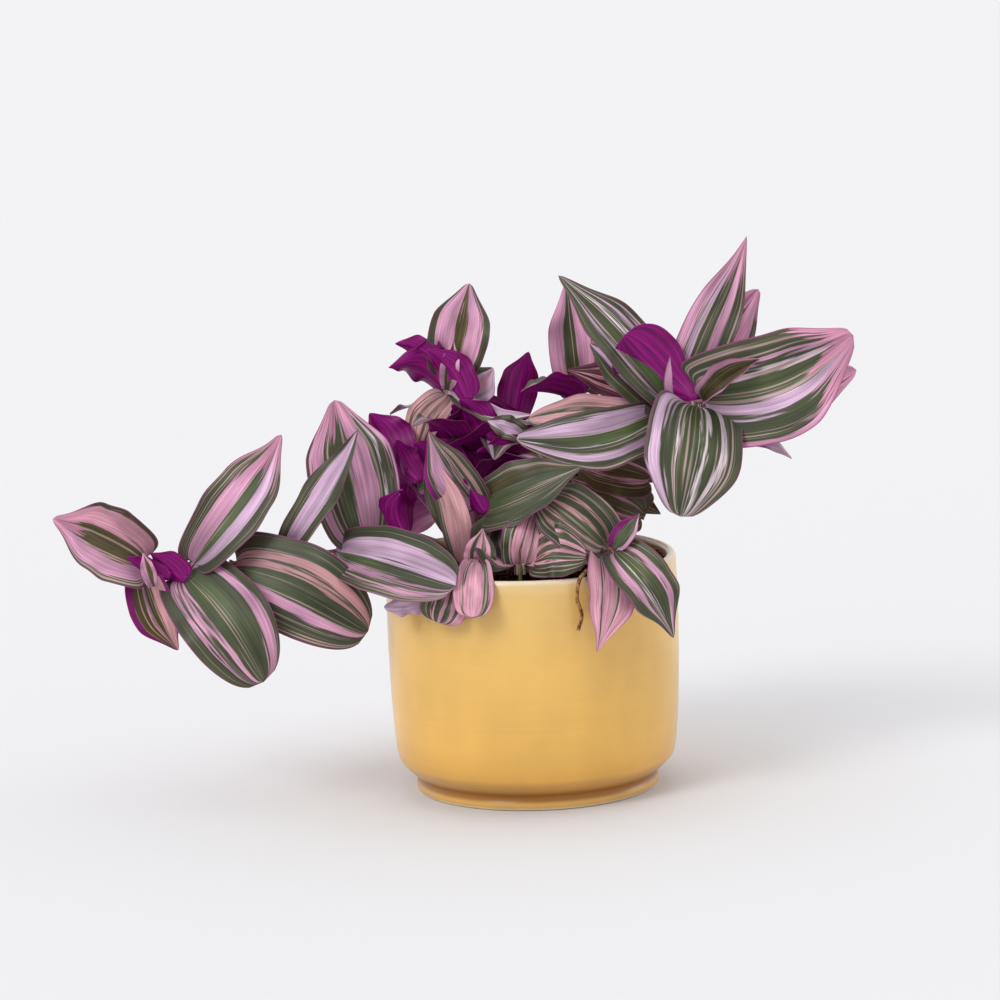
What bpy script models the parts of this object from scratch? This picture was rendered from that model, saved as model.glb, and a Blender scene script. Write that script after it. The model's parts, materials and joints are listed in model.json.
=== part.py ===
"""Potted tradescantia: a turned, glazed pot with soil, twelve stems and their leaves.

Run with  blender --background --python part.py
All sizes below are in millimetres.  +X is the plant's right and +Y its back, and the
origin is the middle of the pot's flat foot.  Every leaf is one blade that starts just off
its stem.  Headings are degrees from +X towards +Y, seen from above, and rises are degrees
above the horizontal.
"""
import math
from collections import namedtuple

import bmesh
import bpy
from mathutils import Matrix, Vector

MM = 0.001
GAP = 0.3  # clearance between neighbouring solids
MERGE = 0.00005  # merge distance of the turned shapes, in metres

# Pot, as radii from its axis and heights above its foot
POT_HEIGHT = 121.0
POT_LIP_RADIUS = 74.9
POT_BELLY_RADIUS = 75.4
POT_BELLY_HEIGHT = 95.0
POT_WAIST_HEIGHT = 57.0
POT_LOW_RADIUS = 73.2
POT_LOW_HEIGHT = 22.0
POT_CORNER_RADIUS = 71.2
POT_CORNER_HEIGHT = 15.0
POT_CORNER_EASE = (1.2, 3.0)  # outwards and up from the corner
POT_NECK_RADIUS = 62.4
POT_NECK_HEIGHT = 6.6
POT_NECK_EASE = (1.0, 1.4)
POT_FOOT_RADIUS = 61.0
POT_FOOT_BEAD = 63.0
POT_FOOT_BEAD_HEIGHT = 3.4
POT_FOOT_CHAMFER = 1.2
POT_WALL = 5.0
POT_FLOOR = 14.0
POT_INNER_CORNER = 24.0  # height at which the rounded inner corner meets the wall
TURN_STEPS = 48

# Soil: a low mound inside the pot
SOIL_EDGE_HEIGHT = 115.5
SOIL_CROWN_HEIGHT = 121.0
SOIL_RINGS = 4

# Leaves
BLADE_THICKNESS = 1.0
BLADE_COLUMNS = 4
BLADE_ROWS = 8
ROW_CROWDING = 1.2  # rows stand closer together towards the base
CREASE_ROUNDNESS = 0.1  # share of the half width over which the fold is rounded
NECK_HALF_WIDTH = 1.4
NECK_SHARE = 0.04
TIP_HALF_WIDTH = 0.5
BASE_ROUNDNESS = 0.60

# Stems
STEM_SAMPLES = 2  # points made between two of a route's own points
STEM_TAPER = 0.75  # share of its radius that a stem keeps at its tip
ROOTED_GAP = 0.8  # the soil slopes under a stem's flat end
ROOTED_RISE = 3.0
LEAST_SLANT = 0.42

UPPER_GREEN = (0.10, 0.13, 0.07, 1.0)
UPPER_PINK = (0.55, 0.28, 0.42, 1.0)
UNDER_PURPLE = (0.20, 0.01, 0.17, 1.0)
STEM_GREEN = (0.18, 0.16, 0.07, 1.0)
STEM_PURPLE = (0.22, 0.03, 0.16, 1.0)
GLAZE_YELLOW = (0.78, 0.50, 0.12, 1.0)
SOIL_BROWN = (0.03, 0.02, 0.015, 1.0)
ROOT_BROWN = (0.16, 0.08, 0.03, 1.0)

Stem = namedtuple("Stem", "radius colour route")
Leaf = namedtuple(
    "Leaf",
    "at heading rise length width taper face_heading face_rise arch fold cup sway twist colour",
    defaults=(UPPER_GREEN,),
)


def soil_height(x, y):
    share = (x * x + y * y) / (POT_LIP_RADIUS - POT_WALL) ** 2
    return SOIL_CROWN_HEIGHT + (SOIL_EDGE_HEIGHT - SOIL_CROWN_HEIGHT) * share


def rooted(x, y, *rest):
    """A route that starts just above the soil at x, y and leaves it straight up."""
    start = soil_height(x, y) + ROOTED_GAP
    return [(x, y, start), (x, y, start + ROOTED_RISE), *rest]


STEMS = {
    "left_runner": Stem(2.9, STEM_GREEN, rooted(
        -38, -6, (-42, -6, 127), (-56, -7, 134), (-71, -8, 133), (-87, -10, 130), (-103, -12, 128),
        (-126, -14, 127), (-150, -17, 125), (-178, -20, 122), (-190, -22, 124), (-199, -23, 124))),
    "centre_tall": Stem(2.6, STEM_PURPLE, rooted(
        -18, 14, (-20, 15, 150), (-28, 17, 170), (-37, 18, 186), (-38, 20, 200), (-38, 20, 213))),
    "centre_left": Stem(2.8, STEM_PURPLE, rooted(
        -40, 8, (-46, 7, 138), (-56, 5, 152), (-63, 4, 164), (-65, 4, 172))),
    "centre": Stem(2.7, STEM_PURPLE, rooted(2, 20, (1, 22, 150), (-3, 24, 170), (-6, 27, 188))),
    "right_crown": Stem(3.2, STEM_GREEN, rooted(
        22, 2, (28, 1, 140), (45, -1, 164), (62, -7, 184), (78, -14, 198), (90, -20, 201))),
    "centre_right": Stem(2.7, STEM_GREEN, rooted(
        18, 28, (20, 28, 150), (26, 28, 176), (29, 30, 199))),
    "front_right": Stem(2.8, STEM_GREEN, rooted(24, -38, (27, -42, 126), (34, -52, 131), (41, -61, 134))),
    "front_left": Stem(2.8, STEM_GREEN, rooted(-24, -28, (-25, -31, 130), (-27, -34, 142), (-27, -35, 152))),
    "front_stub": Stem(4.2, STEM_GREEN, rooted(-6, -60, (-6, -61, 127))),
    "front_trailing": Stem(2.4, STEM_GREEN, rooted(-30, -44, (-30, -50, 124), (-28, -57, 130))),
    "back_left": Stem(2.8, STEM_GREEN, rooted(-30, 38, (-34, 46, 134), (-44, 56, 146), (-55, 64, 156))),
    "back_right": Stem(2.8, STEM_GREEN, rooted(28, 42, (32, 50, 136), (42, 62, 150), (50, 74, 160))),
}

# at, heading, rise, length, width, taper, face heading, face rise, arch, fold, cup, sway, twist
LEAVES = {
    "left_runner": [
        Leaf(0.97, -166, 31, 52, 46, 0.65, -95, 45, 3, 12, 0.05, -3, 0),
        Leaf(1.00, -14, -74, 42, 24, 0.60, -90, 10, 2, 20, 0.05, 3, 0),
        Leaf(0.85, 16, 50, 80, 40, 0.75, -105, 30, 3, 18, 0.05, 2, 0),
        Leaf(0.87, -44, -42, 77, 52, 0.50, -85, 15, 8, 8, -0.10, 3, 0),
        Leaf(0.71, -31, -34, 76, 44, 0.50, -95, 8, 3, 6, -0.10, 2, 0),
        Leaf(0.57, -4, 54, 74, 26, 0.80, -100, 25, 3, 24, 0.05, 0, 0),
        Leaf(0.31, 128, 72, 73, 48, 0.65, -85, 15, 4, 10, 0.05, 0, 0),
        Leaf(0.41, -38, 0, 76, 38, 0.55, -110, 30, 5, 14, 0.05, 0, 0),
    ],
    "centre_tall": [
        Leaf(1.00, 18, 76, 47, 32, 0.70, -90, 10, 3, 10, 0.05, 0, 0),
        Leaf(0.93, -122, -50, 34, 24, 0.60, -100, 20, 3, -8, 0.05, 0, 0, UPPER_PINK),
        Leaf(0.92, -150, 24, 33, 36, 0.70, 90, 30, 3, 14, 0.05, 0, 0, UNDER_PURPLE),
    ],
    "centre_left": [
        Leaf(1.00, 150, 52, 28, 26, 0.60, 90, 10, 3, 14, 0.05, 0, 0, UNDER_PURPLE),
    ],
    "centre": [
        Leaf(0.94, -156, 16, 29, 22, 0.70, 100, 40, 3, 20, 0.05, 0, 0, UNDER_PURPLE),
        Leaf(0.74, -142, 22, 39, 28, 0.70, 90, 75, 2, 42, 0.05, 0, 0, UNDER_PURPLE),
        Leaf(1.00, 20, 76, 32, 24, 0.60, 100, 10, 3, 14, 0.05, 0, 0, UNDER_PURPLE),
    ],
    "right_crown": [
        Leaf(0.86, 158, 47, 88, 32, 0.75, -100, 55, 4, 14, 0.05, 0, 0),
        Leaf(0.82, 155, 38, 52, 24, 0.60, -100, 35, 3, 12, 0.05, 0, 0),
        Leaf(0.79, -157, -3, 79, 38, 0.60, -95, 30, 3, 10, -0.10, -6, 0),
        Leaf(0.97, -118, -58, 60, 54, 0.55, -75, 20, 5, 8, -0.10, 0, 0),
        Leaf(0.95, -14, 22, 84, 60, 0.70, -95, 40, 2, 10, -0.05, 8, 0),
        Leaf(1.00, -46, 33, 38, 22, 0.70, -110, 50, 2, 28, 0.05, 0, 0),
        Leaf(0.90, 38, 61, 90, 32, 0.95, -80, 15, 4, 18, 0.05, 0, 0),
        Leaf(0.82, 62, 38, 84, 22, 0.70, -115, 20, 4, 12, 0.05, 0, 0),
        Leaf(0.96, 8, 6, 80, 42, 0.70, -95, 35, 2, 10, -0.05, 6, 0),
        Leaf(1.00, -142, 48, 50, 34, 0.60, 75, 10, 3, 14, 0.05, 0, 0, UNDER_PURPLE),
        Leaf(0.74, 172, 2, 62, 26, 0.55, -90, 40, 3, 10, 0.05, 0, 0, UPPER_PINK),
    ],
    "centre_right": [
        Leaf(1.00, 170, 84, 57, 32, 0.75, -90, 10, 3, 12, 0.05, 2, 0),
        Leaf(0.95, -150, 14, 34, 30, 0.70, 90, 75, 2, 40, 0.05, 0, 0, UNDER_PURPLE),
        Leaf(0.45, -28, -18, 52, 30, 0.70, -90, 40, 3, 10, 0.05, 0, 0),
    ],
    "front_right": [
        Leaf(0.90, 166, 46, 45, 38, 0.70, -85, 40, 3, 8, 0.05, 0, 0),
        Leaf(0.80, -100, -52, 54, 28, 0.65, -72, 25, 8, 8, 0.05, 0, 0, UPPER_PINK),
        Leaf(1.00, -26, -54, 52, 32, 0.70, -65, 20, 9, 8, 0.05, 0, 0),
        Leaf(1.00, 10, 50, 20, 12, 0.80, -90, 20, 1, 20, 0.05, 0, 0),
    ],
    "front_left": [
        Leaf(1.00, -160, 64, 41, 26, 0.80, -95, 20, 3, 20, 0.05, 0, 0),
        Leaf(0.92, -32, 20, 58, 35, 0.70, -100, 38, 3, 12, 0.05, 0, 0),
        Leaf(0.30, 152, 46, 57, 26, 0.75, -90, 10, 3, 4, 0.05, -5, 0),
    ],
    "front_stub": [
        Leaf(0.36, 64, 40, 32, 34, 0.60, -90, 30, -3, 20, 0.05, 0, 0),
    ],
    "front_trailing": [
        Leaf(1.00, -108, -42, 35, 28, 0.50, -90, 30, 5, 8, 0.05, 0, 0, UPPER_PINK),
    ],
    "back_left": [
        Leaf(0.90, 172, 4, 52, 34, 0.70, 90, 60, 5, 10, 0.05, 0, 0),
        Leaf(0.85, 108, -30, 60, 38, 0.70, 90, 60, 6, 10, 0.05, 0, 0),
        Leaf(0.70, 30, 30, 50, 34, 0.70, 80, 50, 5, 10, 0.05, 0, 0),
        Leaf(0.50, 152, -36, 52, 34, 0.70, 110, 50, 6, 10, 0.05, 0, 0),
    ],
    "back_right": [
        Leaf(1.00, 92, -18, 60, 38, 0.70, 90, 60, 6, 10, 0.05, 0, 0),
        Leaf(0.80, 20, 2, 54, 34, 0.70, 60, 60, 5, 10, 0.05, 0, 0),
        Leaf(0.60, 140, 30, 48, 32, 0.70, 90, 50, 5, 10, 0.05, 0, 0),
    ],
}

# Dry aerial root: it leaves a front stem, crosses the rim and hangs down outside the pot
ROOT_RADIUS = 0.9
ROOT_ROUTE = [
    (33.6, -52.5, 128.3), (32, -58, 126), (26, -70, 123.5), (23, -76.5, 120), (22, -78, 112), (24, -78, 104),
    (22, -78, 96),
]


def direction(heading, rise):
    heading = math.radians(heading)
    rise = math.radians(rise)
    return Vector((
        math.cos(heading) * math.cos(rise),
        math.sin(heading) * math.cos(rise),
        math.sin(rise),
    ))


def clear_scene():
    for old in list(bpy.data.objects):
        bpy.data.objects.remove(old, do_unlink=True)


def make_material(name, colour, roughness, metallic=0.0):
    material = bpy.data.materials.new(name)
    material.use_nodes = True
    shader = material.node_tree.nodes["Principled BSDF"]
    shader.inputs["Base Color"].default_value = colour
    shader.inputs["Roughness"].default_value = roughness
    shader.inputs["Metallic"].default_value = metallic
    return material


def add_object(name, data, collection, colour, roughness):
    obj = bpy.data.objects.new(name, data)
    data.materials.append(make_material(name, colour, roughness))
    collection.objects.link(obj)
    return obj


def smooth_route(points, samples):
    """Catmull-Rom points through a route, with its own points kept."""
    ends = [Vector(p) for p in points]
    padded = [2 * ends[0] - ends[1], *ends, 2 * ends[-1] - ends[-2]]
    route = []
    for before, start, end, after in zip(padded, padded[1:], padded[2:], padded[3:]):
        for step in range(samples):
            t = step / samples
            route.append(0.5 * (
                2 * start
                + (end - before) * t
                + (2 * before - 5 * start + 4 * end - after) * t * t
                + (3 * start - before - 3 * end + after) * t ** 3
            ))
    route.append(ends[-1])
    return route


def turned(name, profile, collection, colour, roughness):
    """A solid of revolution about Z from (radius, height) points, top to bottom outside."""
    mesh = bpy.data.meshes.new(name)
    points = [(radius * MM, 0.0, height * MM) for radius, height in profile]
    mesh.from_pydata(points, [(i, i + 1) for i in range(len(points) - 1)], [])
    obj = add_object(name, mesh, collection, colour, roughness)
    screw = obj.modifiers.new("turn", "SCREW")
    screw.steps = TURN_STEPS
    screw.render_steps = TURN_STEPS
    screw.use_merge_vertices = True
    screw.merge_threshold = MERGE
    return obj


def arc(centre_radius, centre_height, size, start, end, steps):
    """Points of a circular arc in the profile plane, angles from +R towards +Z."""
    points = []
    for step in range(steps + 1):
        angle = math.radians(start + (end - start) * step / steps)
        points.append((
            centre_radius + size * math.cos(angle),
            centre_height + size * math.sin(angle),
        ))
    return points


def make_pot(collection):
    inner = POT_LIP_RADIUS - POT_WALL
    lip = POT_WALL / 2
    corner = POT_INNER_CORNER - POT_FLOOR
    profile = [(0.0, POT_FLOOR)]
    profile += arc(inner - corner, POT_INNER_CORNER, corner, -90, 0, 3)
    profile += arc(POT_LIP_RADIUS - lip, POT_HEIGHT - lip, lip, 180, 0, 6)
    profile += [
        (POT_BELLY_RADIUS, POT_BELLY_HEIGHT),
        (POT_BELLY_RADIUS, POT_WAIST_HEIGHT),
        (POT_LOW_RADIUS, POT_LOW_HEIGHT),
        (POT_CORNER_RADIUS + POT_CORNER_EASE[0], POT_CORNER_HEIGHT + POT_CORNER_EASE[1]),
        (POT_CORNER_RADIUS, POT_CORNER_HEIGHT),
        (POT_NECK_RADIUS + POT_NECK_EASE[0], POT_NECK_HEIGHT + POT_NECK_EASE[1]),
        (POT_NECK_RADIUS, POT_NECK_HEIGHT),
        (POT_FOOT_BEAD, POT_FOOT_BEAD_HEIGHT),
        (POT_FOOT_BEAD, POT_FOOT_CHAMFER),
        (POT_FOOT_RADIUS, 0.0),
        (0.0, 0.0),
    ]
    return turned("pot", profile, collection, GLAZE_YELLOW, 0.3)


def make_soil(collection):
    """The soil fills the pot, 0.3 mm off its floor and wall."""
    inner = POT_LIP_RADIUS - POT_WALL
    corner = POT_INNER_CORNER - POT_FLOOR
    profile = []
    for ring in range(SOIL_RINGS + 1):
        radius = (inner - GAP) * ring / SOIL_RINGS
        profile.append((radius, soil_height(radius, 0)))
    profile += arc(inner - corner, POT_INNER_CORNER, corner - GAP, 0, -90, 3)
    profile.append((0.0, POT_FLOOR + GAP))
    return turned("soil", profile, collection, SOIL_BROWN, 0.95)


def make_tube(name, route, radius, taper, collection, colour, roughness):
    curve = bpy.data.curves.new(name, "CURVE")
    curve.dimensions = "3D"
    curve.bevel_depth = radius * MM
    curve.bevel_resolution = 2
    curve.use_fill_caps = True
    spline = curve.splines.new("POLY")
    spline.points.add(len(route) - 1)
    for index, (point, place) in enumerate(zip(spline.points, route)):
        point.co = (*(place * MM), 1.0)
        point.radius = 1 - (1 - taper) * index / (len(route) - 1)
    return add_object(name, curve, collection, colour, roughness)


def along_route(route, share):
    """Place and direction at a share of a route's length."""
    lengths = [(b - a).length for a, b in zip(route, route[1:])]
    left = share * sum(lengths)
    for start, end, length in zip(route, route[1:], lengths):
        tangent = (end - start).normalized()
        if left <= length:
            return start + tangent * left, tangent
        left -= length
    return route[-1], tangent


def half_width(leaf, u):
    """Half the blade's width at a share u of its length: a rounded base and an acute tip."""
    if u <= NECK_SHARE:
        return NECK_HALF_WIDTH
    blade = (u - NECK_SHARE) / (1 - NECK_SHARE)
    widest = BASE_ROUNDNESS / (BASE_ROUNDNESS + leaf.taper)
    rise = (blade / widest) ** BASE_ROUNDNESS
    fall = ((1 - blade) / (1 - widest)) ** leaf.taper
    least = NECK_HALF_WIDTH if u < widest else TIP_HALF_WIDTH
    return max(least, leaf.width / 2 * rise * fall)


def stem_route(stem):
    """A stem's smooth route, with its first short rise kept straight."""
    return [Vector(stem.route[0]), *smooth_route(stem.route[1:], STEM_SAMPLES)]


def leaf_axes(leaf):
    """The blade's length, side and upper-face directions."""
    chord = direction(leaf.heading, leaf.rise)
    face = direction(leaf.face_heading, leaf.face_rise)
    face = (face - chord * face.dot(chord)).normalized()
    return chord, chord.cross(face), face


def leaf_base(leaf, stem, route):
    place, tangent = along_route(route, leaf.at)
    chord, _, _ = leaf_axes(leaf)
    radius = stem.radius * (1 - (1 - STEM_TAPER) * leaf.at)
    slant = math.sqrt(1 - min(1.0, abs(chord.dot(tangent))) ** 2)
    if leaf.at == 1.0:
        return place + chord * (radius * slant + GAP)
    return place + chord * (radius + 2 * GAP) / max(slant, LEAST_SLANT)


def leaf_place(leaf, base):
    """The blade's own frame: its side is local X, its length Y and its upper face Z."""
    chord, side, face = leaf_axes(leaf)
    turn = Matrix((side, chord, face)).transposed().to_4x4()
    return Matrix.Translation(base * MM) @ turn


def leaf_point(leaf, u, v):
    """A point of the blade: u runs from base to tip and v across, from -1 to 1."""
    half = half_width(leaf, u)
    fold = math.radians(leaf.fold)
    turn = math.radians(leaf.twist) * (u - 0.5)
    crease = math.sqrt(v * v + CREASE_ROUNDNESS ** 2) - CREASE_ROUNDNESS
    across = half * math.cos(fold) * v
    lift = half * (math.sin(fold) * crease + leaf.cup * v * v)
    turned_across = across * math.cos(turn) - lift * math.sin(turn)
    turned_lift = across * math.sin(turn) + lift * math.cos(turn)
    bow = math.sin(math.pi * u)
    return Vector((
        turned_across + leaf.sway * bow,
        leaf.length * u,
        turned_lift + leaf.arch * bow,
    ))


def make_leaf(name, leaf, base, collection):
    mesh = bpy.data.meshes.new(name)
    blade = bmesh.new()
    bmesh.ops.create_grid(blade, x_segments=BLADE_COLUMNS, y_segments=BLADE_ROWS, size=0.5)
    for vert in blade.verts:
        u = (vert.co.y + 0.5) ** ROW_CROWDING
        v = vert.co.x * 2
        vert.co = leaf_point(leaf, u, v) * MM
    blade.to_mesh(mesh)
    blade.free()
    obj = add_object(name, mesh, collection, leaf.colour, 0.45)
    obj.matrix_world = leaf_place(leaf, base)
    shell = obj.modifiers.new("thickness", "SOLIDIFY")
    shell.thickness = BLADE_THICKNESS * MM
    shell.offset = 0.0
    return obj


def make_stem_and_leaves(name, stem, collection):
    route = stem_route(stem)
    make_tube(f"{name}_stem", route, stem.radius, STEM_TAPER, collection, stem.colour, 0.5)
    for number, leaf in enumerate(LEAVES[name], start=1):
        make_leaf(f"{name}_leaf_{number}", leaf, leaf_base(leaf, stem, route), collection)


def main():
    clear_scene()
    collection = bpy.data.collections.new("potted_tradescantia")
    bpy.context.scene.collection.children.link(collection)
    make_pot(collection)
    make_soil(collection)
    for name, stem in STEMS.items():
        make_stem_and_leaves(name, stem, collection)
    root = smooth_route(ROOT_ROUTE, STEM_SAMPLES)
    make_tube("aerial_root", root, ROOT_RADIUS, 1.0, collection, ROOT_BROWN, 0.8)


main()
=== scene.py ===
# %% [markdown]
# A potted tradescantia
#
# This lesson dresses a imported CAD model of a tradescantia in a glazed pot. The model gives
# each stem and leaf its place. Here every leaf gets a thin, gently waved blade and its own
# stripes, the stems get swollen nodes, the pot gets its glaze and the soil its crumbs.
# Lengths are in millimetres until a mesh is made, and MM turns them to metres.

# %% Load the frame
import json
import math
from collections import namedtuple

import bmesh
import bpy
import numpy as np
from mathutils import Matrix, Vector


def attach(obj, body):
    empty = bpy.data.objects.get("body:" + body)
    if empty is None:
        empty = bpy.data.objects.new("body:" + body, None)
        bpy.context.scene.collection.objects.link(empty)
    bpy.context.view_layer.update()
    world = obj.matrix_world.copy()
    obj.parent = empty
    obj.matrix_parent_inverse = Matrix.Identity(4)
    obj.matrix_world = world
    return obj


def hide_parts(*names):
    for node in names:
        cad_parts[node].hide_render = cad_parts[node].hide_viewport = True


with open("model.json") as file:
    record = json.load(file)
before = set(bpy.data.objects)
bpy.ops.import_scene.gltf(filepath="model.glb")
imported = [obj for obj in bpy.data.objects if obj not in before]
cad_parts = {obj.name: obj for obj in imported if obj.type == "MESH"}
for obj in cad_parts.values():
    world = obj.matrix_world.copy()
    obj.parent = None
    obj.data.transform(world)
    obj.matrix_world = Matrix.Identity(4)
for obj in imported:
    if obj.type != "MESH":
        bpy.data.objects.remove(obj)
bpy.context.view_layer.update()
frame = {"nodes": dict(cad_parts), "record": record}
MM = 0.001
BODY = "root"
print("frame nodes", len(frame["nodes"]))

# %% [markdown]
# Camera
#
# The plant is seen almost level, from far away and through a long lens, so its pot looks
# nearly straight-sided. The camera leans by about two degrees. A camera's matrix is its
# right, up and backward directions and its place, so the lean is a turn of right and up.

# %% Place the camera
VIEW_TARGET = Vector((-0.0149, 0.0, 0.1498))
VIEW_ELEVATION = math.radians(10.0)
VIEW_ROLL = math.radians(-1.9)
VIEW_DISTANCE = 2.5

forward = Vector((0, math.cos(VIEW_ELEVATION), -math.sin(VIEW_ELEVATION)))
level_up = Vector((0, math.sin(VIEW_ELEVATION), math.cos(VIEW_ELEVATION)))
level_right = Vector((1, 0, 0))
right = level_right * math.cos(VIEW_ROLL) + level_up * math.sin(VIEW_ROLL)
up = level_up * math.cos(VIEW_ROLL) - level_right * math.sin(VIEW_ROLL)

lens = bpy.data.cameras.new("long_lens")
lens.lens = 175.1
lens.sensor_width = 36.0
lens.clip_end = 50.0
camera = bpy.data.objects.new("camera", lens)
camera.matrix_world = Matrix.Translation(VIEW_TARGET - forward * VIEW_DISTANCE) @ Matrix(
    (right, up, -forward)).transposed().to_4x4()
bpy.context.scene.collection.objects.link(camera)
bpy.context.scene.camera = camera
bpy.context.scene.view_settings.view_transform = "Standard"
print("camera at", [round(x, 3) for x in camera.matrix_world.translation])

# %% [markdown]
# Small helpers
#
# Paint charts give colours as sRGB hex values, and shaders want linear ones. One function
# turns the first into the second. Another adds a node with its settings and its links,
# for shader trees and geometry trees alike. The rest are short names for the nodes that
# come back often, and each returns the socket that holds its answer.


# %% Colour and node helpers
def linear(hex_colour):
    """An sRGB hex value as linear red, green, blue and alpha."""
    shares = [int(hex_colour[i:i + 2], 16) / 255 for i in (1, 3, 5)]
    return (*[s / 12.92 if s <= 0.04045 else ((s + 0.055) / 1.055) ** 2.4 for s in shares], 1.0)


def add_node(tree, kind, inputs=None, **settings):
    """Adds a node. An input that is a socket is linked, and any other is set."""
    node = tree.nodes.new(kind)
    for key, value in settings.items():
        setattr(node, key, value)
    for key, value in (inputs or {}).items():
        if isinstance(value, bpy.types.NodeSocket):
            tree.links.new(value, node.inputs[key])
        else:
            node.inputs[key].default_value = value
    return node


def maths(tree, operation, *values):
    """The answer of a sum on one, two or three values."""
    return add_node(tree, "ShaderNodeMath", dict(enumerate(values)), operation=operation).outputs[0]


def remap(tree, *values):
    """A value, moved from between two limits to between two others and kept there."""
    return add_node(tree, "ShaderNodeMapRange", dict(enumerate(values))).outputs[0]


def split(tree, vector):
    """The X, Y and Z of a vector."""
    return add_node(tree, "ShaderNodeSeparateXYZ", {0: vector}).outputs


def join(tree, *axes):
    """A vector from its X, Y and Z."""
    return add_node(tree, "ShaderNodeCombineXYZ", dict(enumerate(axes))).outputs[0]


def noise(tree, where, scale, detail=3.0, start=(0, 0, 0)):
    """Noise at a place. Three scales stretch it, and start is the place it begins at."""
    if isinstance(scale, tuple):
        where = add_node(tree, "ShaderNodeMapping", {
            "Vector": where, "Location": start, "Scale": scale}).outputs[0]
        scale = 1.0
    return add_node(tree, "ShaderNodeTexNoise", {
        "Vector": where, "Scale": scale, "Detail": detail}).outputs[0]


def ramp(tree, value, stops):
    """A colour by value. Stops are pairs of a place and a colour, in rising order."""
    node = add_node(tree, "ShaderNodeValToRGB", {0: value})
    elements = node.color_ramp.elements
    for index, (place, colour) in enumerate(stops):
        stop = elements[index] if index < 2 else elements.new(place)
        stop.position = place
        stop.color = linear(colour)
    return node.outputs[0]


def mix(tree, share, first, second, blend_type="MIX"):
    """A share of the second colour over the first."""
    return add_node(tree, "ShaderNodeMix", {0: share, 6: first, 7: second},
                    data_type="RGBA", blend_type=blend_type).outputs[2]


def attribute(tree, name):
    """A value that is stored on the mesh."""
    return add_node(tree, "ShaderNodeAttribute", attribute_name=name).outputs["Fac"]


def new_material(name, **sockets):
    """A material with its Principled shader, whose sockets are set by name."""
    material = bpy.data.materials.new(name)
    material.use_nodes = True
    shader = material.node_tree.nodes["Principled BSDF"]
    for key, value in sockets.items():
        shader.inputs[key.replace("_", " ")].default_value = value
    return material, material.node_tree, shader


def dress(tree, shader, colour, height=None, strength=1.0, distance=0.001):
    """Links a shader's colour and, if there is a height, its bump. distance is in metres."""
    tree.links.new(colour, shader.inputs["Base Color"])
    if height is not None:
        bump = add_node(tree, "ShaderNodeBump", {
            "Height": height, "Strength": strength, "Distance": distance})
        tree.links.new(bump.outputs[0], shader.inputs["Normal"])


def place_object(name, data):
    """Puts data in the scene as an object."""
    placed = bpy.data.objects.new(name, data)
    bpy.context.scene.collection.objects.link(placed)
    return placed


print("helpers ready", [round(c, 3) for c in linear("#66705A")])

# %% [markdown]
# Floor and light
#
# A plain pale studio. The world is a white backdrop behind and above the plant and a dim
# room in front of it, with a window to the front left and a tall lamp to the right, whose
# reflections shape the glaze. Two soft distant lights model the leaves, the stronger one
# from the upper left. Distant lights fall off nowhere, so the floor is one even tone.

# %% Build the studio
studio_paint = new_material("matt_studio_paint", Base_Color=linear("#DEDEE0"), Roughness=0.9)[0]
floor_mesh = bpy.data.meshes.new("studio_floor")
bm = bmesh.new()
bmesh.ops.create_circle(bm, cap_ends=True, radius=14.0, segments=96)
bm.to_mesh(floor_mesh)
bm.free()
floor_mesh.materials.append(studio_paint)
floor = place_object("studio_floor", floor_mesh)

REFLECTIONS = (  # direction, cosines where it starts and is full, strength
    ((-0.52, -0.80, 0.30), 0.955, 0.99, 1.1),
    ((0.93, 0.28, 0.25), 0.96, 0.985, 1.6),
)
world = bpy.data.worlds.new("studio")
bpy.context.scene.world = world
world.use_nodes = True
tree = world.node_tree
background = tree.nodes["Background"]
background.inputs["Color"].default_value = linear("#F4F4F5")
toward = add_node(tree, "ShaderNodeTexCoord").outputs["Generated"]
_, backward, upward = split(tree, toward)
brightness = maths(tree, "ADD", remap(tree, backward, -0.5, 0.4, 0.50, 1.0),
                   remap(tree, upward, 0.3, 0.9, 0.0, 0.45))
for way, edge, full, strength in REFLECTIONS:
    closeness = add_node(tree, "ShaderNodeVectorMath", {0: toward, 1: Vector(way).normalized()},
                         operation="DOT_PRODUCT").outputs["Value"]
    brightness = maths(tree, "ADD", brightness, remap(tree, closeness, edge, full, 0.0, strength))
tree.links.new(brightness, background.inputs["Strength"])

LIGHTS = {  # direction it comes from, softness in degrees, strength
    "key_from_left": ((-0.9, -1.0, 1.1), 24, 1.10),
    "fill_from_right": ((1.0, -0.7, 0.35), 60, 0.12),
}
for name, (from_where, softness, strength) in LIGHTS.items():
    lamp = bpy.data.lights.new(name, "SUN")
    lamp.angle = math.radians(softness)
    lamp.energy = strength
    aim = (-Vector(from_where)).to_track_quat("-Z", "Y")
    place_object(name, lamp).matrix_world = aim.to_matrix().to_4x4()
print("lights", list(LIGHTS))

# %% [markdown]
# Pot: the shape
#
# The real pot was thrown on a wheel, so its shape follows one rule: a profile turned about
# its axis. Geometry Nodes can do the same. A grid's columns become angles and its rows
# become places along the profile, and each point is moved to radius and height. A little
# noise along the height gives the shallow rings that a thrower's fingers leave.

# %% Draw the pot's profile
POT_HEIGHT = 121.0
POT_LIP_RADIUS = 74.9
POT_WALL = 5.0
POT_FLOOR = 14.0
FLOOR_CORNER = 10.0  # radius of the curve between the floor and the wall


def arc(centre_radius, centre_height, size, start, end, steps):
    """Points of an arc in the profile, with angles from outwards towards up."""
    return [(centre_radius + size * math.cos(math.radians(start + (end - start) * i / steps)),
             centre_height + size * math.sin(math.radians(start + (end - start) * i / steps)))
            for i in range(steps + 1)]


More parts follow.
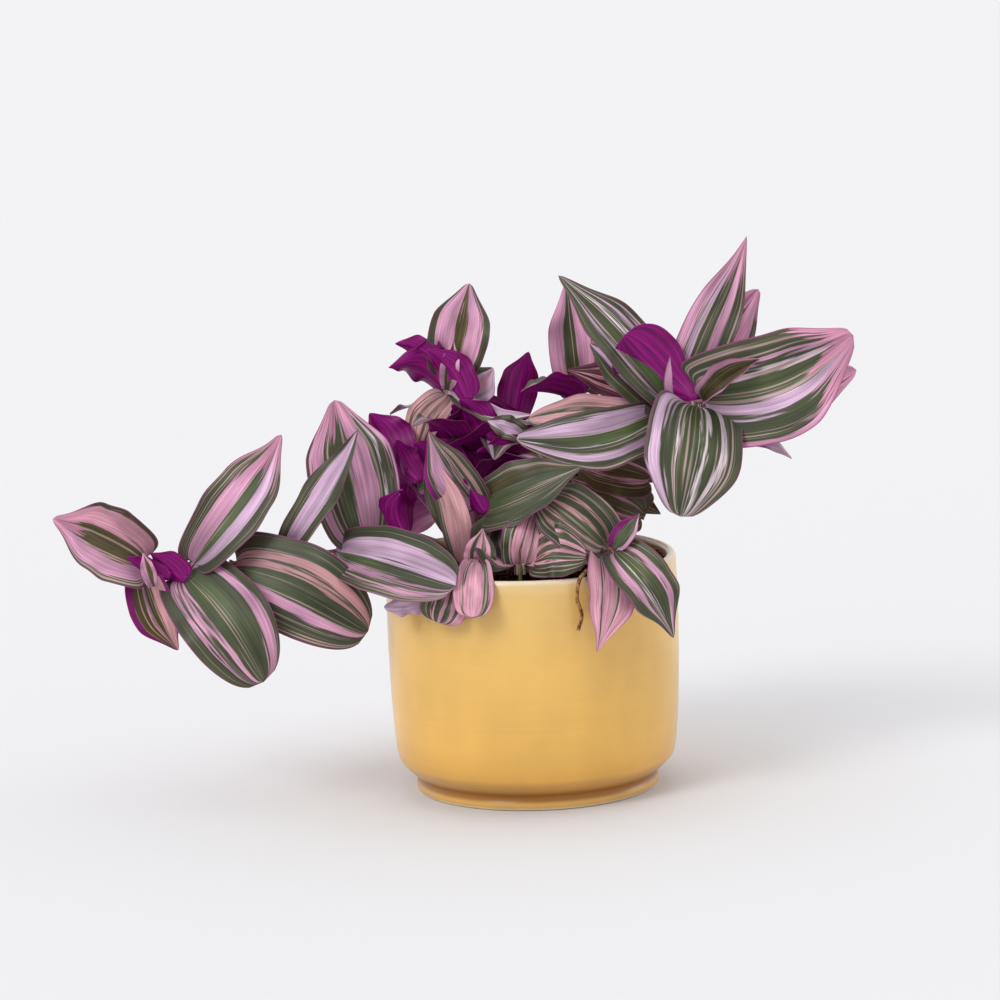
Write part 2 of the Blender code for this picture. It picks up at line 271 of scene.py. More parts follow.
def smooth(points, samples):
    """Catmull-Rom points through a list of points of any dimension."""
    ends = [np.array(p, float) for p in points]
    padded = [2 * ends[0] - ends[1], *ends, 2 * ends[-1] - ends[-2]]
    route = []
    for before, start, end, after in zip(padded, padded[1:], padded[2:], padded[3:]):
        for step in range(samples):
            t = step / samples
            route.append(0.5 * (2 * start + (end - before) * t
                                + (2 * before - 5 * start + 4 * end - after) * t * t
                                + (3 * start - before - 3 * end + after) * t ** 3))
    return [*route, ends[-1]]


inside = POT_LIP_RADIUS - POT_WALL
lip = POT_WALL / 2
pot_profile = [(0.0, POT_FLOOR), (inside - FLOOR_CORNER, POT_FLOOR)]
pot_profile += arc(inside - FLOOR_CORNER, POT_FLOOR + FLOOR_CORNER, FLOOR_CORNER, -80, 0, 6)
pot_profile += arc(POT_LIP_RADIUS - lip, POT_HEIGHT - lip, lip, 180, 0, 12)
pot_profile += smooth([(75.2, 108), (75.4, 95), (75.1, 66), (74.2, 42), (72.9, 25), (72.0, 19),
                       (70.6, 15.4), (66.6, 11.2)], 8)
pot_profile += smooth([(63.0, 7.9), (62.1, 6.4), (62.6, 4.9), (63.1, 3.4)], 4)
pot_profile += [(63.0, 1.4), (62.2, 0.5), (61.0, 0.0), (0.0, 0.0)]
print("pot profile points", len(pot_profile))


# %% Geometry Nodes helpers
def new_group(name, output, **inputs):
    """A Geometry Nodes group and its inputs, which are given by name and kind."""
    group = bpy.data.node_groups.new(name, "GeometryNodeTree")
    for label, kind in inputs.items():
        group.interface.new_socket(label.replace("_", " "), in_out="INPUT",
                                   socket_type=f"NodeSocket{kind}")
    group.interface.new_socket(output, in_out="OUTPUT", socket_type="NodeSocketGeometry")
    return group, add_node(group, "NodeGroupInput").outputs


def stored(tree, geometry, name, value, domain="POINT"):
    """Geometry with a value stored on it under a name."""
    return add_node(tree, "GeometryNodeStoreNamedAttribute", {
        "Geometry": geometry, "Name": name, "Value": value},
        data_type="FLOAT", domain=domain).outputs[0]


def finish_group(tree, geometry, material):
    """Realizes a group's geometry, gives it its material and sends it out."""
    realized = add_node(tree, "GeometryNodeRealizeInstances", {0: geometry})
    coated = add_node(tree, "GeometryNodeSetMaterial", {
        "Geometry": realized.outputs[0], "Material": material})
    add_node(tree, "NodeGroupOutput", {0: coated.outputs[0]})


def made_by(group, carrier, name, **values):
    """What a group makes of a carrier object, as a plain mesh object at the origin."""
    modifier = carrier.modifiers.new(name, "NODES")
    modifier.node_group = group
    for item in group.interface.items_tree:
        key = item.name.replace(" ", "_")
        if item.in_out == "INPUT" and key in values:
            modifier[item.identifier] = values[key]
    bpy.context.view_layer.update()
    depsgraph = bpy.context.evaluated_depsgraph_get()
    mesh = bpy.data.meshes.new_from_object(carrier.evaluated_get(depsgraph), depsgraph=depsgraph)
    mesh.name = name
    bpy.data.objects.remove(carrier)
    return place_object(name, mesh)


def line_object(name, points, radii=None):
    """A carrier object: a poly curve through points in millimetres."""
    curve = bpy.data.curves.new(name, "CURVE")
    curve.dimensions = "3D"
    spline = curve.splines.new("POLY")
    spline.points.add(len(points) - 1)
    for index, point in enumerate(points):
        spline.points[index].co = (*(Vector(point) * MM), 1.0)
        spline.points[index].radius = 1.0 if radii is None else radii[index]
    return place_object(name, curve)


print("geometry helpers ready")

# %% Turn the profile with Geometry Nodes
RING_FREE_RADIUS = 60.5  # no rings within this radius, so the pole on the axis stays closed
POLE_MERGE = 0.02  # points of a pole and of the seam are this close

lathe, given = new_group(
    "turned_from_profile", "Pot", Profile="Geometry", Steps_Round="Int", Steps_Along="Int",
    Ring_Depth="Float", Ring_Spacing="Float", Material="Material")
sheet = add_node(lathe, "GeometryNodeMeshGrid", {
    "Size X": 1.0, "Size Y": 1.0,
    "Vertices X": given["Steps Round"], "Vertices Y": given["Steps Along"]})
sheet_x, sheet_y, _ = split(lathe, add_node(lathe, "GeometryNodeInputPosition").outputs[0])
sample = add_node(lathe, "GeometryNodeSampleCurve", {
    "Curves": given["Profile"], "Factor": maths(lathe, "ADD", sheet_y, 0.5)}, mode="FACTOR")
profile_radius, _, profile_height = split(lathe, sample.outputs["Position"])
angle = maths(lathe, "MULTIPLY", sheet_x, math.tau)
cosine, sine = maths(lathe, "COSINE", angle), maths(lathe, "SINE", angle)
ring_scale = maths(lathe, "DIVIDE", 1.0, given["Ring Spacing"])
ring_point = join(lathe, cosine, sine, maths(lathe, "MULTIPLY", profile_height, ring_scale))
ring_push = maths(lathe, "MULTIPLY", noise(lathe, ring_point, 1.0, 1.0), given["Ring Depth"])
on_wall = maths(lathe, "GREATER_THAN", profile_radius, RING_FREE_RADIUS * MM)
radius = maths(lathe, "SUBTRACT", profile_radius, maths(lathe, "MULTIPLY", ring_push, on_wall))
turned = join(lathe, maths(lathe, "MULTIPLY", radius, cosine),
              maths(lathe, "MULTIPLY", radius, sine), profile_height)
moved = add_node(lathe, "GeometryNodeSetPosition", {
    "Geometry": sheet.outputs["Mesh"], "Position": turned})
closed = add_node(lathe, "GeometryNodeMergeByDistance", {
    "Geometry": moved.outputs[0], "Distance": POLE_MERGE * MM})
finish_group(lathe, closed.outputs[0], given["Material"])
print("lathe nodes", len(lathe.nodes))

# %% [markdown]
# Pot: the glaze
#
# The pot is stoneware under a mustard-yellow glaze. Glaze runs thin and pale over the lip,
# pools darker in the groove above the foot, and leaves a bare rim of clay where the pot
# stood in the kiln. The colour follows the height, broken by soft cloudy patches. The
# surface is smooth glass, with an IOR of 1.5, slightly softened by the rings under it.

# %% Mix the stoneware glaze
GLAZE_BY_HEIGHT = (  # height in millimetres, colour
    (0.0, "#F0E0C8"), (1.2, "#ECD6B2"), (1.7, "#D9A553"), (3.6, "#DDAE5C"), (5.2, "#A86E22"),
    (8.4, "#9A611C"), (11.5, "#C48C37"), (17.0, "#DFA94C"), (34.0, "#E9B556"), (80.0, "#EBBB60"),
    (112.0, "#EDC372"), (118.5, "#EFCE8E"), (120.4, "#F0DDC0"),
)
GLAZE_TOP = 124.0
glaze, tree, shader = new_material("mustard_stoneware_glaze", Roughness=0.28, IOR=1.5,
                                   Coat_Weight=0.25, Coat_Roughness=0.12)
point = add_node(tree, "ShaderNodeTexCoord").outputs["Object"]
level = maths(tree, "MULTIPLY", split(tree, point)[2], 1 / (GLAZE_TOP * MM))
by_height = ramp(tree, level, [(z / GLAZE_TOP, colour) for z, colour in GLAZE_BY_HEIGHT])
# Fine turning marks lie round the pot, and faint runs of glaze hang down it
marks = remap(tree, noise(tree, point, (9.0, 9.0, 700.0)), 0.35, 0.65, 0.99, 1.01)
runs = remap(tree, noise(tree, point, (70.0, 70.0, 5.0), 2.0), 0.35, 0.65, 0.98, 1.015)
clouds = remap(tree, noise(tree, point, 22.0), 0.35, 0.65, 0.92, 1.06)
shade = maths(tree, "MULTIPLY", maths(tree, "MULTIPLY", marks, runs), clouds)
# Throwing rings: 4 mm apart, and long round the pot
rings = noise(tree, point, (6.0, 6.0, 260.0), 4.0)
dress(tree, shader, mix(tree, 1.0, by_height, shade, "MULTIPLY"), rings, 0.14, 0.0006)
print("glaze stops", len(GLAZE_BY_HEIGHT))


# %% Make the pot
def outward(mesh):
    """Turns the faces of a closed mesh outwards."""
    bm = bmesh.new()
    bm.from_mesh(mesh)
    bmesh.ops.recalc_face_normals(bm, faces=bm.faces)
    bm.to_mesh(mesh)
    bm.free()


def finish_piece(piece, slot, *nodes, shade_smooth=True):
    """Shades a piece smooth or flat and ties it to the frame."""
    for polygon in piece.data.polygons:
        polygon.use_smooth = shade_smooth
    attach(piece, BODY)
    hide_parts(*nodes)
    return piece


carrier = line_object("pot_profile", [(r, 0, z) for r, z in pot_profile])
pot = made_by(lathe, carrier, "glazed_pot", Steps_Round=161, Steps_Along=361,
              Ring_Depth=0.0004, Ring_Spacing=0.009, Material=glaze)
outward(pot.data)
finish_piece(pot, "glazed_earthenware", "pot")
print("pot triangles", sum(len(p.vertices) - 2 for p in pot.data.polygons))

# %% [markdown]
# Soil
#
# Moist potting soil is nearly black, with brown bark and reddish fibres. Its surface is a
# low mound, made in mesh code from rings that follow the CAD mound with a little noise.

# %% Mound of soil
SOIL_RADIUS = 69.6
SOIL_EDGE, SOIL_CROWN, SOIL_BOTTOM = 115.5, 121.0, 104.0
RINGS, SPOKES = 34, 120
LUMP = 0.35  # how far the surface goes up and down


def soil_height(x, y):
    """Height of the mound's surface."""
    share = (x * x + y * y) / (POT_LIP_RADIUS - POT_WALL) ** 2
    return SOIL_CROWN + (SOIL_EDGE - SOIL_CROWN) * share


soil_paint, tree, shader = new_material("moist_potting_soil", Roughness=0.95,
                                        Specular_IOR_Level=0.08)
grain = noise(tree, add_node(tree, "ShaderNodeTexCoord").outputs["Object"], 480.0, 4.0)
earth = ramp(tree, grain, [(0.35, "#0C0806"), (0.55, "#20140E"), (0.80, "#4A2A1A")])
dress(tree, shader, earth, grain, 0.9, 0.0012)

random = np.random.default_rng(7)
bm = bmesh.new()
rows = []
for ring in range(1, RINGS + 1):
    radius_here = SOIL_RADIUS * ring / RINGS
    row = []
    for spoke in range(SPOKES):
        turn = math.tau * spoke / SPOKES
        x, y = radius_here * math.cos(turn), radius_here * math.sin(turn)
        lump = random.normal(0, LUMP) if ring < RINGS else 0.0
        row.append(bm.verts.new((x * MM, y * MM, (soil_height(x, y) + lump) * MM)))
    rows.append(row)
rows.append([bm.verts.new((v.co.x, v.co.y, SOIL_BOTTOM * MM)) for v in rows[-1]])
middle = bm.verts.new((0, 0, soil_height(0, 0) * MM))
for i in range(SPOKES):
    bm.faces.new((middle, rows[0][i], rows[0][(i + 1) % SPOKES]))
for low, high in zip(rows, rows[1:]):
    for i in range(SPOKES):
        j = (i + 1) % SPOKES
        bm.faces.new((low[i], high[i], high[j], low[j]))
bm.faces.new(list(reversed(rows[-1])))
bmesh.ops.recalc_face_normals(bm, faces=bm.faces)
soil_mesh = bpy.data.meshes.new("soil_mound")
bm.to_mesh(soil_mesh)
bm.free()
soil_mesh.materials.append(soil_paint)
soil = place_object("soil_mound", soil_mesh)
print("soil faces", len(soil_mesh.polygons))

# %% [markdown]
# Soil crumbs
#
# Thousands of crumbs lie on the mound. Geometry Nodes scatter points on its top faces and
# put a small lumpy crumb on each, turned and scaled at random from a fixed seed. A random
# tone is stored on each crumb, and the material turns it to black, brown or reddish.

# %% Scatter the crumbs
crumb_paint, tree, shader = new_material("bark_and_peat_crumbs", Roughness=0.95,
                                         Specular_IOR_Level=0.05)
dress(tree, shader, ramp(tree, attribute(tree, "crumb_tone"), [
    (0.0, "#0D0907"), (0.5, "#20140E"), (0.8, "#452617"), (1.0, "#7A4A2E")]))

scatter, given = new_group(
    "crumbs_on_soil", "Crumbs", Soil="Geometry", Crumbs_Per_Square_Metre="Float",
    Smallest="Float", Largest="Float", Seed="Int", Material="Material")
facing = split(scatter, add_node(scatter, "GeometryNodeInputNormal").outputs[0])[2]
spread = add_node(scatter, "GeometryNodeDistributePointsOnFaces", {
    "Mesh": given["Soil"], "Selection": maths(scatter, "GREATER_THAN", facing, 0.5),
    "Density": given["Crumbs Per Square Metre"], "Seed": given["Seed"]})
lump = add_node(scatter, "GeometryNodeMeshIcoSphere", {"Radius": 1.0, "Subdivisions": 1})
size = add_node(scatter, "FunctionNodeRandomValue", {
    "Min": (0.4, 0.3, 0.2), "Max": (1.6, 1.0, 0.7), "Seed": given["Seed"]},
    data_type="FLOAT_VECTOR")
grade = add_node(scatter, "FunctionNodeRandomValue", {
    2: given["Smallest"], 3: given["Largest"], "Seed": 3}, data_type="FLOAT")
scaled = add_node(scatter, "ShaderNodeVectorMath", {
    0: size.outputs[0], "Scale": grade.outputs[1]}, operation="SCALE")
spin = add_node(scatter, "FunctionNodeRandomValue", {
    "Min": (0, 0, 0), "Max": (6.3, 6.3, 6.3), "Seed": 5}, data_type="FLOAT_VECTOR")
placed = add_node(scatter, "GeometryNodeInstanceOnPoints", {
    "Points": spread.outputs["Points"], "Instance": lump.outputs["Mesh"],
    "Rotation": spin.outputs[0], "Scale": scaled.outputs[0]})
tone = add_node(scatter, "FunctionNodeRandomValue", {2: 0.0, 3: 1.0, "Seed": 9},
                data_type="FLOAT")
toned = stored(scatter, placed.outputs[0], "crumb_tone", tone.outputs[1], "INSTANCE")
finish_group(scatter, toned, given["Material"])

crumbs = made_by(scatter, place_object("crumb_carrier", soil_mesh.copy()), "soil_crumbs",
                 Crumbs_Per_Square_Metre=240000.0, Smallest=0.0004, Largest=0.0014, Seed=11,
                 Material=crumb_paint)
finish_piece(soil, "potting_soil", "soil")
finish_piece(crumbs, "potting_soil", "soil", shade_smooth=False)
print("crumb triangles", len(crumbs.data.polygons))

# %% [markdown]
# Leaf table
#
# Each leaf is one blade, described by the same kinds of numbers as in the CAD model: where
# it sits on its stem, its heading and rise in degrees, its length and width, and the
# direction that its upper face looks in. Stripes are a line of words: colours from the
# blade's left edge to its right, with the border between two as a place from -1 to 1.

# %% Stems and leaves
Stem = namedtuple("Stem", "radius skin route")
SHAPE = ("width taper face_heading face_rise arch fold "
         "stripes ruffle curl point hook lobe tone blush cup sway roundness")
SHAPE_DEFAULTS = (1.0, 0.0, 0.5, 0.0, 0.17, 1.0, 0.0, 0.05, 0.0)
# A tone below 1 is painted shade, which darkens a leaf that lies in the plant's shade
Leaf = namedtuple("Leaf", f"at heading rise length {SHAPE}", defaults=(*SHAPE_DEFAULTS, 0.38))
PLAIN = "green -.3 pink .3 green"
ROOTED_DEPTH = 3.0  # a dressed stem starts this far under the soil
CAD_START = 0.8  # and its CAD stem this far above it
GAP = 0.3  # space between a stem's end and its leaf, and half of that on a stem's side


def rooted(x, y, *rest):
    """A route that starts in the soil at x, y and leaves it straight up."""
    start = soil_height(x, y)
    return [(x, y, start - ROOTED_DEPTH), (x, y, start + (ROOTED_DEPTH + CAD_START)), *rest]


STEMS = {
    "left_runner": Stem(2.9, "green", rooted(
        -38, -6, (-42, -6, 127), (-56, -7, 134), (-71, -8, 133), (-87, -10, 130), (-103, -12, 128),
        (-126, -14, 127), (-150, -17, 125), (-178, -20, 122), (-190, -22, 124), (-199, -23, 124))),
    "centre_tall": Stem(2.6, "purple", rooted(
        -18, 14, (-20, 15, 150), (-28, 17, 170), (-37, 18, 186), (-38, 20, 200), (-38, 20, 213))),
    "centre_left": Stem(2.8, "purple", rooted(
        -40, 8, (-46, 7, 138), (-56, 5, 152), (-63, 4, 164), (-65, 4, 172))),
    "centre": Stem(2.7, "purple", rooted(2, 20, (1, 22, 150), (-3, 24, 170), (-6, 27, 188))),
    "right_crown": Stem(3.2, "green", rooted(
        22, 2, (28, 1, 140), (45, -1, 164), (62, -7, 184), (78, -14, 198), (90, -20, 201))),
    "centre_right": Stem(2.7, "green", rooted(
        18, 28, (20, 28, 150), (26, 28, 176), (29, 30, 199))),
    "front_right": Stem(2.8, "green", rooted(
        24, -38, (27, -42, 126), (34, -52, 131), (41, -61, 134))),
    "front_left": Stem(2.8, "green", rooted(
        -24, -28, (-25, -31, 130), (-27, -34, 142), (-27, -35, 152))),
    "front_stub": Stem(4.2, "cut", rooted(-6, -60, (-6, -61, 127))),
    "front_trailing": Stem(2.4, "green", rooted(-30, -44, (-30, -50, 124), (-28, -57, 130))),
    "back_left": Stem(2.8, "green", rooted(
        -30, 38, (-34, 46, 134), (-44, 56, 146), (-55, 64, 156))),
    "back_right": Stem(2.8, "green", rooted(28, 42, (32, 50, 136), (42, 62, 150), (50, 74, 160))),
}

# Tones below 1 in this table are painted shade on leaves that lie in shade
LEAVES = {
    "left_runner": [
        Leaf(0.97, -166, 31, 52, 44, 0.50, -95, 45, 4, 12,
             "green -.8 pink -.25 olive .42 rose .9 green", 1.2, 0, 0.6, blush=0.8, sway=-3),
        Leaf(1.00, -14, -67, 43, 25, 0.60, -90, 10, 2, 20,
             "purple -.85 salmon -.2 olive .15 pink .25 olive .75 purple", 0.6, sway=3),
        Leaf(0.85, 18, 50, 79, 38, 0.52, -105, 30, 4, 20,
             "green -.62 pink -.24 green .12 lavender .55 green",
             1.4, 3, 0.6, -2, roundness=0.45, blush=0.8, sway=4),
        Leaf(0.875, -40, -44, 70, 47, 0.42, -85, 18, 10, 8,
             "green -.84 pink -.58 green .36 pink .46 green .62 pink .7 green",
             0.8, -3, 0.0, tone=0.92, cup=-0.14, sway=-2),
        Leaf(0.74, -16, -24, 76, 49, 0.42, -92, 14, 7, 6,
             "green -.6 salmon -.42 green -.32 salmon -.22 green .3 pink .52 green",
             0.8, -3, 0.0, lobe=0.24, tone=0.8, cup=-0.14, sway=-4),
        Leaf(0.57, -4, 55, 72, 21, 0.60, -100, 25, 3, 24,
             "green -.55 lavender .42 green", 1.8, 1, 0.5, -3, roundness=0.45, sway=1),
        Leaf(0.31, 128, 72, 73, 47, 0.50, -85, 15, 4, 10,
             "green -.86 pink -.62 green .05 pink .5 green .66 white .72 green .9 pink", blush=0.7),
        Leaf(0.41, -46, -5, 86, 38, 0.34, -105, 30, 5, 12,
             "green -.62 lavender -.02 green .4 pink .5 green .64 pink .76 green",
             1.0, 0, 0.0, tone=0.8, cup=0.02),
    ],
    "centre_tall": [
        Leaf(1.00, 18, 76, 47, 32, 0.52, -90, 10, 3, 10,
             "green -.8 pink -.15 olive .2 pink .7 green"),
        Leaf(0.93, -160, -60, 34, 20, 0.55, -100, 20, 3, -8,
             "salmon -.6 olive -.48 salmon -.25 olive -.12 salmon .15 olive .28 salmon .6 olive "
             ".7 salmon", 1.0, 0, 0.2, tone=0.92, sway=5),
        Leaf(0.92, -170, 22, 32, 30, 0.60, 90, 30, 4, 20, PLAIN, 3.0, 0, 0.6, sway=-6),
    ],
    "centre_left": [
        Leaf(1.00, 150, 52, 28, 26, 0.60, 90, 10, 3, 14, PLAIN, 2.0),
    ],
    "centre": [
        Leaf(0.94, -160, 10, 36, 24, 0.60, 100, 40, 3, 22, PLAIN, 3.0),
        Leaf(0.74, -146, 10, 44, 30, 0.60, 90, 75, 2, 42, PLAIN, 1.5),
        Leaf(1.00, 10, 76, 34, 22, 0.60, 100, 10, 3, 14, PLAIN, 1.2),
    ],
    "right_crown": [
        Leaf(0.86, 158, 47, 88, 32, 0.62, -100, 55, 4, 14,
             "green -.5 lavender -.36 green .3 white .38 green .6 lavender .72 green"),
        Leaf(0.82, 155, 38, 52, 24, 0.60, -100, 35, 3, 12, "green -.3 lavender .3 green"),
        Leaf(0.79, -157, -3, 79, 34, 0.42, -95, 30, 3, 10,
             "green -.7 lavender -.42 green -.2 white -.14 green .3 lavender .8 green",
             1.2, 0, 0.4, cup=-0.10, sway=-9),
        Leaf(0.97, -110, -58, 60, 52, 0.42, -75, 25, 9, 8,
             "green -.62 white -.52 green -.32 white -.22 green -.12 white -.07 green .3 white "
             ".36 green .66 lavender .96 green", 1.0, 0, 0.25, roundness=0.30, cup=-0.14),
        Leaf(0.93, -12, 22, 84, 56, 0.42, -90, 7, 4, 6,
             "green -.55 pink -.48 green -.36 white -.3 green .15 lavender .45 green .9 pink",
             1.2, 0, 0.4, lobe=0.16, roundness=0.24, blush=0.9, cup=-0.05, sway=9),
        Leaf(1.00, -22, 36, 36, 20, 0.50, -100, 35, 2, 44,
             "pink -.72 olive .72 pink", tone=0.7, cup=0.2),
        Leaf(0.86, 33, 58, 91, 28, 0.75, -80, 15, 4, 3,
             "pink -.6 green -.5 lavender -.3 green .2 pink .5 green",
             1.4, 2, 0.5, -4, blush=0.8, sway=-2),
        Leaf(0.82, 37, 43, 79, 34, 0.50, -100, 20, 4, 12,
             "green -.6 pink -.4 green .2 pink .8 green", blush=0.9),
        Leaf(0.91, 13, 7, 87, 42, 0.50, -95, 25, 2, 10,
             "green -.4 pink -.2 green .1 pink .3 green .5 pink .7 green .8 pink",
             blush=0.8, cup=-0.05, sway=6),
        Leaf(0.965, 172, 43, 46, 40, 0.42, 82, 12, 6, 8,
             PLAIN, point=0.1, roundness=0.8, cup=-0.10, sway=4),
        Leaf(0.74, 172, 2, 62, 26, 0.45, -90, 40, 3, 10,
             "green -.4 salmon .3 green .5 salmon", 1.0, 0, 0.3),
    ],
    "centre_right": [
        Leaf(1.00, 170, 84, 57, 32, 0.55, -90, 10, 3, 12,
             "pink -.5 green -.05 pink .5 green", sway=2),
        Leaf(0.95, -150, 14, 34, 30, 0.70, 90, 75, 2, 40, PLAIN),
        Leaf(0.45, -28, -18, 52, 30, 0.70, -90, 40, 3, 10, "olive -.3 salmon -.2 olive", tone=0.8),
    ],
    "front_right": [
        Leaf(0.90, 166, 36, 47, 38, 0.60, -85, 40, 5, 8,
             "green -.6 salmon -.52 green -.3 salmon -.22 green .1 salmon .2 green .45 salmon .52 "
             "green", 1.0, 0, 0.3, tone=0.86, cup=-0.08),
        Leaf(0.80, -100, -52, 54, 26, 0.60, -72, 25, 8, 8,
             "rose -.3 green -.2 rose .35 green .45 rose", 1.4, 0, 0.6, sway=-3),
        Leaf(1.00, -26, -54, 52, 30, 0.60, -65, 20, 9, 8,
             "green -.7 pink -.5 green .1 white .16 green .4 pink .6 green",
             1.2, 0, 0.6, tone=0.95),
        Leaf(1.00, 10, 50, 20, 12, 0.80, -90, 20, 1, 20, "purple -.5 green .7 pink"),
    ],
    "front_left": [
        Leaf(1.00, -164, 60, 46, 27, 0.62, -95, 20, 4, 16,
             "purple -.8 green -.6 pink .05 green .3 pink .36 green .62 salmon .68 green",
             0.8, tone=0.92, sway=-3),
        Leaf(0.92, -22, 24, 60, 36, 0.60, -100, 38, 4, 12,
             "green -.7 olive -.5 green", 1.4, tone=0.84, sway=3),
        Leaf(0.30, 166, 66, 57, 26, 0.75, -90, 10, 3, 4, "green -.2 rose", 1.2, sway=-3),
    ],
    "front_stub": [
        Leaf(0.36, 90, 50, 34, 44, 0.50, -90, 30, -3, 20,
             "green -.7 rose -.5 green -.3 rose -.1 green .1 rose .3 green .5 rose .7 green",
             2.0, 6, 0.1, sway=-4),
    ],
    "front_trailing": [
        Leaf(1.00, -96, -43, 34, 21, 0.26, -90, 30, 2, 8,
             "rose -.8 green -.5 rose .5 green .6 rose", 1.0, 0, 0.0),
    ],
    "back_left": [
        Leaf(0.90, 172, 4, 52, 34, 0.70, 90, 60, 5, 10, "green -.4 pink .1 green"),
        Leaf(0.85, 108, -30, 60, 38, 0.70, 90, 60, 6, 10,
             "green -.6 pink -.3 green .4 pink .6 green"),
        Leaf(0.70, 30, 30, 50, 34, 0.70, 80, 50, 5, 10, "green -.1 lavender .5 green"),
        Leaf(0.50, 152, -36, 52, 34, 0.70, 110, 50, 6, 10, "green -.7 pink -.4 green .6 pink"),
    ],
    "back_right": [
        Leaf(1.00, 92, -18, 60, 38, 0.70, 90, 60, 6, 10,
             "green -.5 pink -.1 green .5 lavender .7 green"),
        Leaf(0.80, 20, 2, 54, 34, 0.70, 60, 60, 5, 10, "green -.3 pink .2 green"),
        Leaf(0.60, 140, 30, 48, 32, 0.70, 90, 50, 5, 10, "pink -.5 green .4 pink"),
    ],
}
print("leaves", sum(len(leaves) for leaves in LEAVES.values()), "on", len(STEMS), "stems")

# %% [markdown]
# Leaf colours
#
# The variegated blade is a grey-green with pink and lavender bands that follow its veins.
# A band's border isn't clean: cells without green run out along the veins in long flames.
# So the border is found on the blade's own across-and-along map, shifted by a noise that is
# stretched along the blade. A second, finer noise draws hair-thin lines in the partner
# colour, and a third the veins, about half a millimetre apart. Over the colours lie painted
# sheen and painted shade in broad patches, strips and veins, and painted shade at the base.

# %% Stripe colours
STRIPE_COLOURS = {
    "green": "#494F38", "olive": "#574E2C", "pink": "#D9A0BF", "rose": "#DC9FB2",
    "salmon": "#CF9A9E", "lavender": "#D3B1CD", "white": "#DCCBD2", "purple": "#8A0C74",
    # maroon is painted shade: the dark colour of a leaf lying deep in the plant's shade
    "maroon": "#4E2030",
}
PARTNERS = {
    "green": "#BCA09E", "olive": "#B99C90", "pink": "#A47C90", "rose": "#A67C84",
    "salmon": "#8C6E66", "lavender": "#A2879C", "white": "#C9A9B8", "purple": "#5C0A4C",
    "maroon": "#8C4A5C",
}
BORDER = 0.012  # half the soft edge between two bands, as a share of the width
FLAME_REACH = 0.30  # how far a border can shift, as a share of the width


def stripe_stops(words, colours):
    """Colour ramp stops for a line of stripes."""
    names, borders = words.split()[::2], [(float(b) + 1) / 2 for b in words.split()[1::2]]
    stops = [(0.0, names[0])]
    for border, before, after in zip(borders, names, names[1:]):
        stops += [(border - BORDER, before), (border + BORDER, after)]
    return [(place, colours[name]) for place, name in (*stops, (1.0, names[-1]))]


# %% Striped upper side
def striped_leaf(name, words, seed, tone, blush):
    """The upper side of a variegated leaf, with its own stripes, painted sheen and painted shade.
    """
    material, tree, shader = new_material(name, Roughness=0.38, Specular_IOR_Level=0.32,
                                          Subsurface_Weight=0.10, Subsurface_Scale=0.002)
    blade = add_node(tree, "ShaderNodeUVMap", uv_map="blade").outputs[0]
    across, along, _ = split(tree, blade)
    flame = noise(tree, blade, (17, 1.5, 1), start=(seed, seed * 0.7, 0))
    flame = maths(tree, "SUBTRACT", flame, 0.5)
    shifted = maths(tree, "MULTIPLY_ADD", flame, FLAME_REACH, across)
    hair = noise(tree, blade, (30, 0.5, 1), start=(seed, 0, seed))
    bands, partners = (ramp(tree, shifted, stripe_stops(words, colours))
                       for colours in (STRIPE_COLOURS, PARTNERS))
    lined = mix(tree, remap(tree, hair, 0.57, 0.63, 0.0, 0.72), bands, partners)
    # Pink runs back from the tip of some blades in long teeth
    teeth = remap(tree, maths(tree, "MULTIPLY_ADD", flame, 1.1, along), 0.80, 0.84, 0.0, blush)
    blushed = mix(tree, teeth, lined, linear("#D38FAE"))
    # Young green beside the midrib near the base, on green parts only
    distance = maths(tree, "ABSOLUTE", maths(tree, "SUBTRACT", across, 0.5))
    near_middle = remap(tree, distance, 0.02, 0.20, 0.55, 0.0)
    near_base = remap(tree, along, 0.25, 0.8, 1.0, 0.0)
    red, green, _ = add_node(tree, "ShaderNodeSeparateColor", {0: blushed}).outputs
    glow = maths(tree, "MULTIPLY", maths(tree, "MULTIPLY", near_middle, near_base),
                 maths(tree, "GREATER_THAN", green, red))
    fresh = mix(tree, glow, blushed, linear("#5A7236"))
    # Broad soft patches of painted sheen and shade, all darkened by the leaf's tone, which is
    # painted shade
    patch = noise(tree, blade, (5, 2.4, 1), 1.0, (0, seed, seed))
    shade = remap(tree, patch, 0.3, 0.7, 0.64 * tone, 1.28 * tone)
    # Painted shade darkens the blade towards its base; painted sheen and shade run in strips
    # between the hairlines and along the veins, which are also the blade's own fine lines
    vein = noise(tree, blade, (100, 1.2, 1), 2.0)
    for value, *limits in ((along, 0.0, 0.28, 0.62, 1.0), (hair, 0.30, 0.56, 0.74, 1.12),
                           (vein, 0.35, 0.65, 0.80, 1.16)):
        shade = maths(tree, "MULTIPLY", remap(tree, value, *limits), shade)
    veined = mix(tree, 1.0, fresh, shade, "MULTIPLY")
    # The purple of the underside shows as a thin line at the margin
    margin = remap(tree, distance, 0.482, 0.494, 0.0, 0.8)
    edged = mix(tree, margin, veined, linear("#8C3A74"))
    # The relief is fine veins on wide pleats
    dress(tree, shader, edged, maths(tree, "MULTIPLY_ADD", patch, 6.0, vein), 0.35, 0.0005)
    return material


